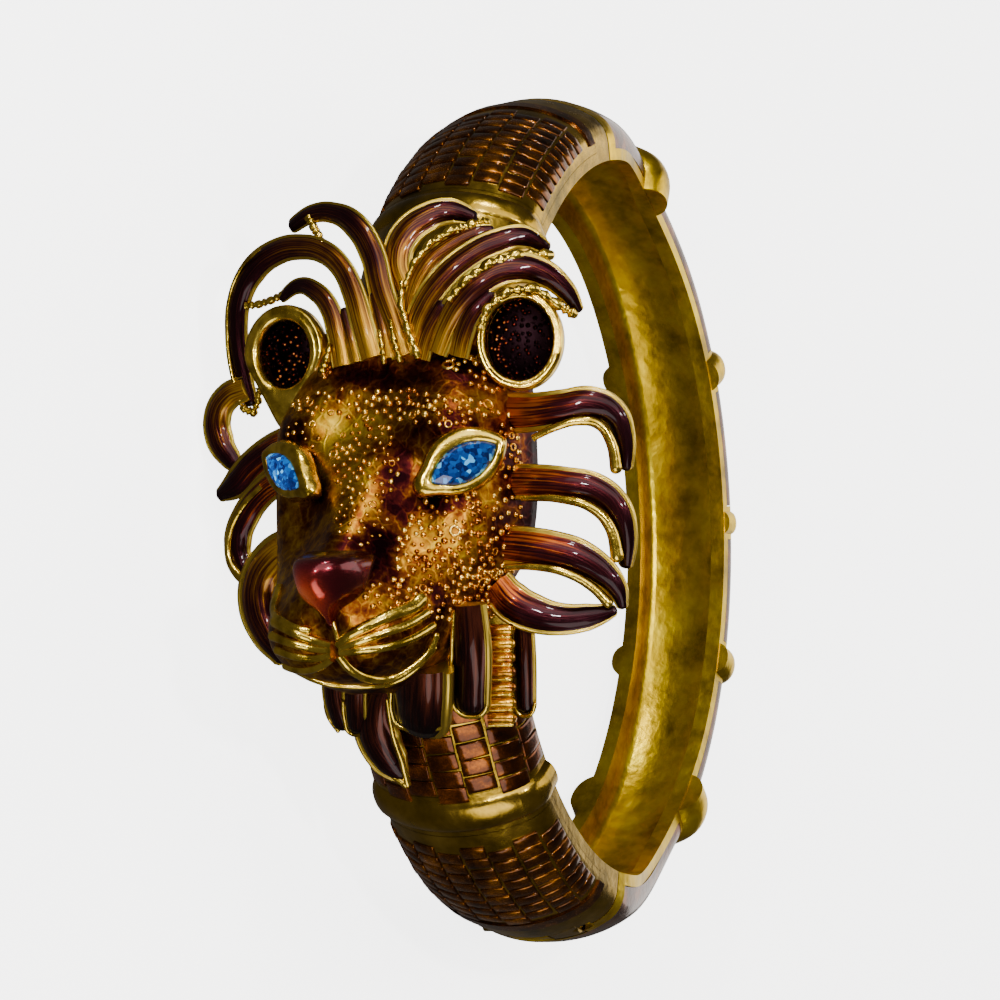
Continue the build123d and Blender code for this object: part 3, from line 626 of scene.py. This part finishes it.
for side, name, turn, hollow_size in ears:
    loops = []
    for number, (level, half_across, half_up, larger) in enumerate(ear_loops):
        if side < 0:
            half_across, half_up = half_across + larger, half_up + larger
        outline = []
        for i in range(hoop_steps):
            x, y = cos(2 * pi * i / hoop_steps), sin(2 * pi * i / hoop_steps)
            tail = max(0.0, -y) if side < 0 and number >= tail_start else 0.0
            slim, longer = 1 - tail_slimness * tail ** 1.5, 1 + tail_length * tail ** 2
            outline.append((half_across * x * slim, half_up * y * longer))
        loops.append((level, outline))
    normal = Vector((side * sin(turn), 0, cos(turn)))
    across = Vector((cos(turn), 0, -side * sin(turn)))
    place = seat(Vector((side * ear_place[0], *ear_place[1:])), across, normal)
    rim = hoop(loops)
    rim.matrix_world = place
    lay(rim, "ear_rim_" + name, "head_gold", bright_gold)
    bpy.ops.object.select_all(action="DESELECT")
    bpy.ops.mesh.primitive_uv_sphere_add(segments=32, ring_count=20, radius=1, scale=hollow_size)
    bpy.ops.object.transform_apply(location=True, rotation=True, scale=True)
    bpy.ops.object.shade_smooth()
    hollow = bpy.context.object
    hollow.matrix_world = place
    lay(hollow, "ear_hollow_" + name, "head_gold", ear_dark)

# The whisker pads: gilt ridges that fan out from the middle of the mouth, with brown enamel in
# the channels between them, and the gilt edge of the lip. They are cast and chased on the face.

# Each ridge: pixels of the photograph along it, and its half width in mm at the start and the end
ridges = [
    ([(338, 645), (352, 634), (372, 624), (394, 614), (412, 607), (420, 600)], 0.36, 0.62),
    ([(340, 648), (360, 641), (384, 633), (408, 624), (426, 613)], 0.32, 0.4),
    ([(340, 652), (362, 650), (388, 646), (412, 638), (432, 626)], 0.34, 0.38),
    ([(339, 655), (350, 668), (366, 677), (390, 678), (412, 667), (430, 650), (436, 636)], 0.42, 0.3),
    ([(332, 645), (314, 640), (294, 632), (276, 622)], 0.34, 0.48),
    ([(332, 650), (312, 648), (292, 643), (273, 636)], 0.32, 0.4),
    ([(332, 654), (314, 658), (296, 656), (278, 650)], 0.34, 0.38),
    ([(332, 658), (320, 666), (304, 670), (286, 666)], 0.34, 0.34),
    ([(280, 588), (274, 600), (275, 612), (284, 622), (296, 628), (308, 630)], 0.42, 0.34),
    ([(286, 666), (300, 676), (320, 682), (344, 686), (370, 686), (394, 682), (416, 668),
      (434, 648)], 0.22, 0.26),
    ([(338, 642), (336, 632), (333, 622), (330, 612)], 0.2, 0.16),
]
round_ending = ((0.35, 0.93), (0.65, 0.72), (0.84, 0.36), (0.88, 0.04))


def surface_path(pixels, start, end):
    """Rows of a strand over the face through the given pixels."""
    rows = []
    for i, spot in enumerate(pixels):
        point = seen_at(*spot)[0]
        if point is not None:
            rows.append((*point, start + (end - start) * i / (len(pixels) - 1)))
    return rows


def strand(rows, profile, smoothness=10, ending=round_ending):
    """Strand along rows of across, up, forward and scale, with the profile's section and its ending:
    steps of reach and width as shares of the last scale."""
    bpy.ops.object.select_all(action="DESELECT")
    bpy.ops.curve.primitive_bezier_curve_add()
    made = bpy.context.object
    line = made.data.splines[0]
    end, way = Vector(rows[-1][:3]), (Vector(rows[-1][:3]) - Vector(rows[-2][:3])).normalized()
    width = rows[-1][3]
    rows = [*rows, *[(*(end + way * width * reach), width * share) for reach, share in ending]]
    line.bezier_points.add(len(rows) - len(line.bezier_points))
    for point, (x, y, z, scale) in zip(line.bezier_points, rows):
        point.co = (x, y, z)
        point.handle_left_type = point.handle_right_type = "AUTO"
        point.radius = scale
    made.data.twist_mode = "Z_UP"
    made.data.resolution_u = smoothness
    made.data.use_fill_caps = True
    if isinstance(profile, float):
        made.data.bevel_depth = profile
        made.data.bevel_resolution = 2
    else:
        made.data.bevel_mode = "OBJECT"
        made.data.bevel_object = profile
    bpy.ops.object.convert(target="MESH")
    return made


wires = []
for pixels, start, end in ridges:
    rows = surface_path(pixels, start, end)
    if len(rows) > 1:
        wires.append(strand(rows, 1.0))
bpy.data.objects.remove(skin)

# The mane over the brow: locks that are cast with the head, with a domed maroon enamel that turns
# amber at the root, between two thin gilt rims. Two more locks of it curl down the right side.

# Each lock: pixel of the photograph, depth in the lion's frame and half the width in mm
crown_locks = {
    "right_inner": [
        (404, 356, 29.4, 0.8), (395, 327, 29.6, 0.8), (382, 291, 29.4, 0.85), (372, 252, 29.0, 0.85),
        (355, 225, 28.6, 0.8), (334, 213, 28.0, 0.65), (312, 214, 27.4, 0.6), (294, 225, 26.8, 0.5),
    ],
    "right_outer": [
        (372, 358, 29.6, 0.8), (362, 322, 29.8, 0.8), (353, 291, 29.6, 0.75), (341, 267, 29.2, 0.7),
        (324, 252, 28.8, 0.72), (301, 247, 28.2, 0.78), (277, 252, 27.6, 0.85), (254, 270, 27.0, 0.9),
        (240, 298, 26.5, 0.82), (237, 331, 26.1, 0.75), (242, 369, 25.8, 0.68), (250, 400, 25.6, 0.5),
    ],
    "right_lower": [
        (343, 366, 29.4, 0.7), (337, 332, 29.6, 0.7), (329, 307, 29.6, 0.65), (315, 291, 29.2, 0.6),
        (298, 286, 28.6, 0.5), (283, 297, 28.2, 0.35),
    ],
    "left_cap": [
        (405, 290, 28.4, 0.9), (397, 262, 28.2, 1.0), (405, 236, 27.8, 1.05), (426, 218, 27.0, 0.95),
        (449, 211, 26.0, 0.8), (471, 216, 25.2, 0.5),
    ],
    "left_upper": [
        (409, 318, 29.4, 0.55), (415, 290, 29.4, 0.6), (428, 264, 29.2, 0.6), (449, 246, 28.6, 0.6),
        (475, 233, 27.8, 0.5), (490, 229, 27.2, 0.3),
    ],
    "left_middle": [
        (412, 340, 29.6, 0.8), (421, 312, 29.8, 0.85), (442, 280, 29.6, 0.9), (468, 257, 29.0, 0.85),
        (497, 242, 28.0, 0.8), (525, 237, 26.8, 0.7), (545, 247, 25.8, 0.4),
    ],
    "left_outer": [
        (436, 352, 29.6, 0.8), (446, 326, 29.8, 0.85), (460, 302, 29.9, 0.95), (483, 280, 29.6, 1.0),
        (513, 268, 28.6, 0.95), (543, 273, 27.2, 0.85), (566, 291, 26.0, 0.65), (577, 308, 25.3, 0.4),
    ],
    "left_inner": [
        (458, 356, 29.6, 0.7), (463, 334, 29.8, 0.75), (473, 312, 29.9, 0.7), (488, 296, 29.6, 0.55),
    ],
    "left_root": [(420, 358, 29.6, 0.7), (427, 332, 29.8, 0.7), (440, 308, 29.8, 0.6)],
    "middle_root": [(389, 358, 29.5, 0.5), (382, 326, 29.7, 0.5), (374, 296, 29.5, 0.35)],
    "right_root": [(357, 362, 29.5, 0.5), (350, 334, 29.7, 0.5), (344, 312, 29.6, 0.35)],
}
amber_locks = {
    "right_top": [
        (246, 388, 26.0, 0.8), (229, 396, 25.8, 0.9), (218, 415, 25.5, 0.95), (220, 440, 25.3, 0.95),
        (232, 460, 25.3, 0.7), (240, 468, 25.4, 0.4),
    ],
    "right_bottom": [
        (294, 546, 27.0, 1.3), (274, 560, 26.4, 1.4), (261, 582, 26.0, 1.45), (260, 608, 25.9, 1.4),
        (269, 633, 25.9, 1.2), (282, 652, 26.0, 0.9),
    ],
}
# Right half of a lock's section, from the middle of its back over the rim to the crown, for a
# half width of 1, and the share of the way round where the gilt rim ends
lock_half = [
    (0.0, -0.55), (0.6, -0.53), (0.9, -0.4), (1.04, -0.2), (1.12, 0.0), (1.08, 0.16), (0.96, 0.2),
    (0.84, 0.12), (0.7, 0.34), (0.45, 0.5), (0.16, 0.56),
]
rim_share = 7 / (2 * len(lock_half) - 1)
width_share, rim_gold = 1.15, (0.62, 0.42, 0.05)


def section(half):
    """Closed flat curve for a lock, from the right half of its outline."""
    outline = half + [(-x, y) for x, y in reversed(half[1:])]
    bpy.ops.curve.primitive_bezier_circle_add()
    made = bpy.context.object
    made.data.dimensions = "2D"
    made.data.splines.clear()
    line = made.data.splines.new("POLY")
    line.points.add(len(outline) - 1)
    for point, (x, y) in zip(line.points, outline):
        point.co = (x, y, 0, 1)
    line.use_cyclic_u = True
    return made


def in_photo(x, y, forward):
    """Place at a pixel of the photograph and at a depth in the lion's frame."""
    eye = camera_aim + back * camera_distance
    ray = camera_axes.to_3x3() @ through(x, y)
    return eye + ray * ((forward - eye.z) / ray.z)


def traced(rows):
    """Rows of a strand from rows of pixel, depth and scale."""
    return [(*in_photo(x, y, forward), scale * width_share) for x, y, forward, scale in rows]


def locks_of(tables):
    """Locks along the rows of a group of tables, in one piece."""
    made = joined([strand(traced(rows), lock_section) for rows in tables])
    bpy.ops.object.shade_smooth()
    return made


def lock_enamel(name, *stops):
    """Enamel between gilt rims, coloured along the lock from its root to its tip."""
    made = finish(name, (0.03, 0.004, 0.005), Metallic=0.97, Roughness=0.32, Coat_Weight=0.3,
                  Coat_Roughness=0.03)
    flat = node(made, "TexCoord").outputs["UV"]
    way = node(made, "SeparateXYZ", Vector=flat).outputs
    stretch = node(made, "Mapping", {"vector_type": "POINT"}, Vector=flat, Scale=(2.5, 46.0, 1.0))
    streak = mixed(made, "SUBTRACT", noise(made, 1.0, 2.0, 0.6, stretch.outputs["Vector"]), 0.5)
    patch = mixed(made, "SUBTRACT", noise(made, 0.25, 2.0), 0.5)
    shift = mixed(made, "ADD", mixed(made, "MULTIPLY", streak, 1.1), mixed(made, "MULTIPLY", patch, 0.5))
    glass = ramp(made, mixed(made, "ADD", way["X"], shift), *stops)
    from_crown = mixed(made, "ABSOLUTE", mixed(made, "SUBTRACT", way["Y"], 0.5), 0.0)
    rim = mixed(made, "GREATER_THAN", from_crown, 0.5 - rim_share)
    feed(
        made,
        Base_Color=node(made, "MixRGB", _0=rim, _1=glass, _2=(*rim_gold, 1)).outputs[0],
        Metallic=node(made, "MapRange", Value=rim, _3=0.95, _4=1.0).outputs[0],
        Normal=bumped(made, streak, 0.3, 0.15),
    )
    return made


lock_section = section(lock_half)
mane = locks_of([*crown_locks.values(), *amber_locks.values()])
maroon = lock_enamel(
    "maroon enamel between gilt rims", (0.0, (0.46, 0.23, 0.01)), (0.12, (0.27, 0.11, 0.005)),
    (0.24, (0.1, 0.026, 0.004)), (0.38, (0.03, 0.003, 0.006)), (0.6, (0.014, 0.0015, 0.003)),
)
lay(mane, "mane", "head_gold", maroon)

# The locks beside the cheeks: four on the left and two on the right, cast with the head. They
# stand out over the band, with dark maroon enamel that is orange at the root.
side_locks = {
    "left_top": [
        (508, 413, 27.0, 1.2), (535, 412, 27.4, 1.15), (563, 408, 27.3, 1.1), (590, 404, 26.8, 1.05),
        (612, 412, 26.2, 0.9), (624, 436, 25.6, 0.72), (626, 464, 25.2, 0.5),
    ],
    "left_upper": [
        (508, 482, 27.2, 1.05), (535, 482, 27.4, 1.05), (565, 484, 27.2, 1.0), (597, 491, 26.6, 1.0),
        (616, 507, 26.1, 0.95), (626, 535, 25.5, 0.75), (626, 562, 25.0, 0.5),
    ],
    "left_lower": [
        (500, 545, 27.4, 1.1), (525, 547, 27.5, 1.2), (552, 551, 27.2, 1.2), (578, 558, 26.8, 1.15),
        (602, 572, 26.3, 0.95), (617, 589, 25.8, 0.7), (622, 604, 25.4, 0.4),
    ],
    "left_bottom": [
        (497, 585, 27.5, 1.1), (512, 602, 27.4, 1.25), (533, 613, 27.0, 1.15), (560, 619, 26.6, 0.95),
        (588, 617, 26.0, 0.8), (612, 611, 25.5, 0.4),
    ],
    "right_upper": [
        (292, 440, 27.0, 1.0), (272, 450, 26.4, 1.0), (252, 466, 25.9, 1.0), (236, 484, 25.5, 0.95),
        (222, 494, 25.2, 0.5),
    ],
    "right_lower": [
        (284, 478, 27.0, 0.9), (264, 492, 26.4, 0.9), (247, 514, 25.8, 0.95), (238, 540, 25.3, 0.95),
        (241, 562, 25.2, 0.8), (248, 576, 25.4, 0.5),
    ],
}
side_mane = locks_of(side_locks.values())
side_maroon = lock_enamel(
    "dark maroon enamel with an orange root", (0.0, (0.42, 0.09, 0.005)), (0.08, (0.15, 0.02, 0.004)),
    (0.18, (0.04, 0.004, 0.006)), (0.45, (0.016, 0.002, 0.004)),
)
lay(side_mane, "side_mane", "head_gold", side_maroon)

# The beard: tabs that hang from the jaw over the neck, cast with the head, with nearly black
# enamel between their gilt rims.
beard = {
    "right_outer": [(333, 676, 29.4, 0.8), (335, 700, 28.2, 0.8), (341, 722, 27.0, 0.75)],
    "right_inner": [(355, 676, 29.6, 0.85), (355, 702, 28.4, 0.85), (356, 724, 27.2, 0.8)],
    "leaf": [
        (386, 676, 29.0, 0.9), (376, 706, 27.6, 1.2), (378, 736, 26.4, 1.5), (391, 762, 25.4, 1.2),
        (404, 778, 24.8, 0.4),
    ],
    "middle": [(420, 662, 31.4, 2.2), (420, 690, 30.2, 2.2), (420, 712, 29.0, 2.1)],
    "left_inner": [(446, 604, 31.0, 0.7), (449, 650, 30.0, 0.7), (451, 700, 28.4, 0.6)],
    "left": [(466, 604, 31.2, 1.3), (470, 650, 30.4, 1.4), (470, 700, 28.6, 1.35)],
    "outer": [(521, 612, 26.6, 0.8), (524, 660, 25.9, 0.8), (525, 704, 24.8, 0.75)],
}
beard_tabs = locks_of(beard.values())
bpy.data.objects.remove(lock_section)
dark_maroon = lock_enamel(
    "dark enamel of the beard", (0.05, (0.06, 0.012, 0.005)), (0.25, (0.02, 0.003, 0.003)),
    (0.5, (0.008, 0.0016, 0.002)),
)
lay(beard_tabs, "beard", "head_gold", dark_maroon)

# The ladder between the left tabs of the beard: cast rungs of orange enamel, with a thin gilt bar
# below each.

# Its line: pixels of the photograph and depths in the lion's frame
ladder = [(498, 630, 28.2), (499, 672, 27.4), (500, 718, 26.1)]
ladder_bars, bar_reach = 7, 0.85
rung_half, bar_half, bar_lean = 0.46, 0.14, 0.2
top, middle, foot = [Vector(in_photo(*spot)) for spot in ladder]
step = (foot - top) / (ladder_bars - 1)
rungs = []
for i in range(ladder_bars):
    share = i / (ladder_bars - 1)
    spot = top.lerp(middle, 2 * share) if share < 0.5 else middle.lerp(foot, 2 * share - 1)
    for reach, kept, size in ((0.0, rungs, rung_half), (0.5, wires, bar_half)):
        level = spot + step * reach
        ends = [level + Vector((side * bar_reach, 0, -side * bar_lean)) for side in (-1, 1)]
        kept.append(strand([(*end, size) for end in ends], 1.0, 4))
rungs = joined(rungs)
bpy.ops.object.shade_smooth()
glow = clear_enamel("orange enamel of the ladder", (0.36, (0.04, 0.006, 0.002)), (0.5, (0.3, 0.08, 0.004)),
                    (0.64, (0.8, 0.42, 0.02)))
lay(rungs, "beard_ladder", "head_gold", glow)

# The gilt edges between the locks and round the tabs: thin bars, cast with the head. The first
# group is chased in beads. They are one piece with the whisker ridges, as on the casting.

# Each edge: pixels of the photograph and depth of its points, and its half width at both ends
beaded_edges = [
    ([(405, 284, 29.8), (414, 262, 29.8), (430, 243, 29.4), (452, 230, 28.6), (474, 224, 27.6),
      (486, 222, 27.0)], 0.2, 0.36),
    ([(449, 300, 30.6), (466, 280, 30.4), (490, 263, 29.8), (518, 255, 28.4),
      (550, 255, 26.4)], 0.28, 0.4),
    ([(480, 328, 30.4), (487, 308, 30.4), (508, 291, 29.8), (534, 288, 28.4), (560, 306, 26.6),
      (574, 314, 25.8)], 0.26, 0.36),
    ([(402, 282, 29.6), (401, 306, 30.2), (408, 330, 30.4), (418, 356, 30.0)], 0.2, 0.34),
    ([(390, 320, 30.2), (394, 340, 30.2), (400, 360, 29.8)], 0.16, 0.3),
    ([(379, 330, 30.2), (382, 346, 30.2), (384, 362, 29.8)], 0.14, 0.24),
    ([(330, 344, 30.0), (326, 360, 29.8), (322, 372, 29.4)], 0.2, 0.34),
    ([(309, 218, 27.6), (314, 228, 28.0), (319, 236, 28.3), (322, 246, 28.7)], 0.3, 0.26),
    ([(247, 306, 26.8), (260, 304, 27.2), (272, 300, 27.7), (284, 294, 28.2)], 0.26, 0.26),
    ([(259, 388, 26.0), (258, 402, 25.9), (253, 413, 25.9), (243, 408, 25.9)], 0.24, 0.3),
]
plain_edges = [
    ([(259, 249, 28.3), (240, 270, 27.4), (229, 300, 26.8), (227, 331, 26.4), (231, 369, 26.1),
      (241, 404, 25.9)], 0.15, 0.2),
    ([(533, 438, 28.0), (556, 427, 28.0), (578, 421, 27.6), (598, 424, 27.0), (611, 442, 26.4),
      (616, 468, 26.0)], 0.26, 0.5),
    ([(522, 498, 28.2), (560, 499, 28.0), (592, 508, 27.4), (610, 527, 26.6),
      (617, 556, 26.0)], 0.24, 0.55),
    ([(505, 567, 28.2), (536, 567, 28.0), (566, 573, 27.6), (592, 587, 26.8),
      (608, 603, 26.2)], 0.24, 0.42),
    ([(262, 486, 27.0), (244, 505, 26.4), (231, 530, 25.9), (229, 556, 25.7), (238, 575, 25.8),
      (250, 583, 26.0)], 0.24, 0.42),
    ([(454, 612, 31.8), (452, 650, 31.2), (452, 698, 29.4), (458, 712, 28.9), (470, 717, 28.7),
      (483, 713, 28.7), (488, 698, 28.9), (488, 650, 30.2), (485, 622, 30.8)], 0.17, 0.17),
    ([(391, 686, 30.6), (392, 714, 29.7), (398, 725, 29.3), (420, 729, 29.1), (443, 726, 29.0),
      (449, 714, 29.2)], 0.18, 0.18),
    ([(368, 730, 26.8), (371, 748, 26.2), (386, 769, 25.4), (406, 785, 24.7)], 0.2, 0.3),
    ([(408, 785, 24.7), (402, 762, 25.6), (393, 735, 26.9), (387, 700, 28.4)], 0.3, 0.16),
    ([(343, 690, 28.8), (345, 722, 27.4), (350, 733, 26.9), (362, 733, 26.9),
      (368, 716, 27.6)], 0.18, 0.18),
    ([(325, 690, 28.6), (328, 716, 27.3), (338, 731, 26.8)], 0.16, 0.18),
    ([(513, 632, 26.8), (514, 700, 25.4), (519, 714, 25.0), (530, 715, 25.0),
      (535, 704, 25.2)], 0.15, 0.17),
]
bead_steps, bead_depth = 5, 0.3


def edge_rows(spots, start, end):
    """Rows of a strand from an edge's spots and its half widths at both ends."""
    count = len(spots) - 1
    return [(*in_photo(*spot), start + (end - start) * i / count) for i, spot in enumerate(spots)]


for edge in beaded_edges:
    rows = edge_rows(*edge)
    beads = []
    for before, after in zip(rows, rows[1:]):
        for i in range(bead_steps):
            row = Vector(before).lerp(Vector(after), i / bead_steps)
            row[3] *= 1 + bead_depth * (-1) ** i
            beads.append(tuple(row))
    wires.append(strand([*beads, rows[-1]], 1.0, 3))
for edge in plain_edges:
    wires.append(strand(edge_rows(*edge), 1.0, 8))
chased_wires = joined(wires)
bpy.ops.object.shade_smooth()
lay(chased_wires, "whisker_ridges", "head_gold", bright_gold)

# The scales of the band: small pillows of brown enamel in staggered columns, with gilt metal
# between them, and a plain dark strip beside each joint. The neck under the beard has larger ones.
ring_half, ring_depth, seat_half, joint_half, joint_turn = 29.0, 23.3, 6.6, 7.2, radians(80)
arch_height, arch_shoulder, corner_share = 5.5, 1.4, 0.68
# Each panel: name, angles of its scales and of its plain strip, columns, the scales' length,
# half the panel's width and the cuts that let a scale bend round the band
scale_panels = [
    ("upper", (47.0, 71.0), (71.4, 73.6), 8, 1.2, 8.7, 1),
    ("lower", (-71.0, -49.0), (-73.6, -71.4), 8, 1.2, 8.7, 1),
    ("neck", (-42.6, -25.0), None, 8, 1.5, 9.9, 3),
]
scale_line, scale_height, scale_round, scale_lift = 0.14, 0.3, 0.13, 0.02
strip_cuts, unevenness, scale_rise, crease_angle = 16, 0.05, 0.03, radians(50)
brown = clear_enamel("brown enamel scales", (0.32, (0.02, 0.0045, 0.0005)), (0.52, (0.1, 0.03, 0.001)),
                     (0.72, (0.32, 0.11, 0.003)))
russet = clear_enamel("russet enamel scales", (0.3, (0.022, 0.004, 0.0005)), (0.5, (0.09, 0.021, 0.001)),
                      (0.74, (0.34, 0.09, 0.002)))


def on_band(turn, run, level):
    """Place on the front half: angle round it, distance across from its middle, height above it."""
    half = seat_half + (joint_half - seat_half) * (sin(turn) / sin(joint_turn)) ** 2
    rise = arch_height - arch_shoulder
    corner = corner_share * rise
    crown = ((half - corner) ** 2 + rise ** 2 - corner ** 2) / (2 * (rise - corner))
    reach = atan2(arch_shoulder - arch_height + crown, half - corner)
    span = crown * (pi / 2 - reach)
    if abs(run) < span:
        lean = pi / 2 - abs(run) / crown
        x, y = (crown + level) * cos(lean), arch_height - crown + (crown + level) * sin(lean)
    elif abs(run) < span + corner * reach:
        lean = reach - (abs(run) - span) / corner
        x, y = half - corner + (corner + level) * cos(lean), arch_shoulder + (corner + level) * sin(lean)
    else:
        x, y = half + level, arch_shoulder - (abs(run) - span - corner * reach)
    out = Vector((0, sin(turn) / ring_half, cos(turn) / ring_depth)).normalized()
    return Vector((x if run >= 0 else -x, ring_half * sin(turn), ring_depth * cos(turn))) + out * y


for name, (first, last), strip, columns, length, half_run, cuts in scale_panels:
    first, last = radians(first), radians(last)
    pace = (on_band(last, 0, 0) - on_band(first, 0, 0)).length / (last - first)
    width = 2 * half_run / columns
    bpy.ops.object.select_all(action="DESELECT")
    bpy.ops.mesh.primitive_cube_add(size=1, scale=(width - scale_line, length - scale_line, scale_height))
    bpy.ops.object.transform_apply(location=True, rotation=True, scale=True)
    bpy.ops.object.mode_set(mode="EDIT")
    bpy.ops.mesh.subdivide(number_cuts=cuts)
    bpy.ops.object.mode_set(mode="OBJECT")
    scale = finished(bpy.context.object, "BEVEL", width=scale_round, segments=2)
    places = []
    rows = int((last - first) * pace / length)
    for column in range(columns):
        stagger = column % 2
        for row in range(rows - stagger):
            jitter = Vector((
                chance.uniform(-unevenness, unevenness), chance.uniform(-unevenness, unevenness),
                chance.uniform(-unevenness, scale_rise),
            ))
            across, along = width * (column + 0.5) - half_run, length * (row + 0.5 + 0.5 * stagger)
            spot = Vector((across, along, scale_lift))
            turn = Matrix.Rotation(chance.uniform(-unevenness, unevenness), 4, "Z")
            places.append(Matrix.Translation(spot + jitter) @ turn)
    panel = copies(scale, places)
    bpy.data.objects.remove(scale)
    if strip:
        low, high = [(radians(turn) - first) * pace for turn in strip]
        bpy.ops.mesh.primitive_cube_add(size=1, location=(0, (low + high) / 2, scale_lift),
                                        scale=(2 * half_run, high - low, scale_height))
        bpy.ops.object.transform_apply(location=True, rotation=True, scale=True)
        bpy.ops.object.mode_set(mode="EDIT")
        bpy.ops.mesh.subdivide(number_cuts=strip_cuts)
        bpy.ops.object.mode_set(mode="OBJECT")
        panel = joined([panel, bpy.context.object])
    for point in panel.data.vertices:
        point.co = on_band(first + point.co.y / pace, point.co.x, point.co.z)
    bpy.ops.object.shade_smooth_by_angle(angle=crease_angle)
    lay(panel, "scales_" + name, "brown_enamel", russet if name == "neck" else brown)
    refinish(gold, "scale_enamel_" + name)
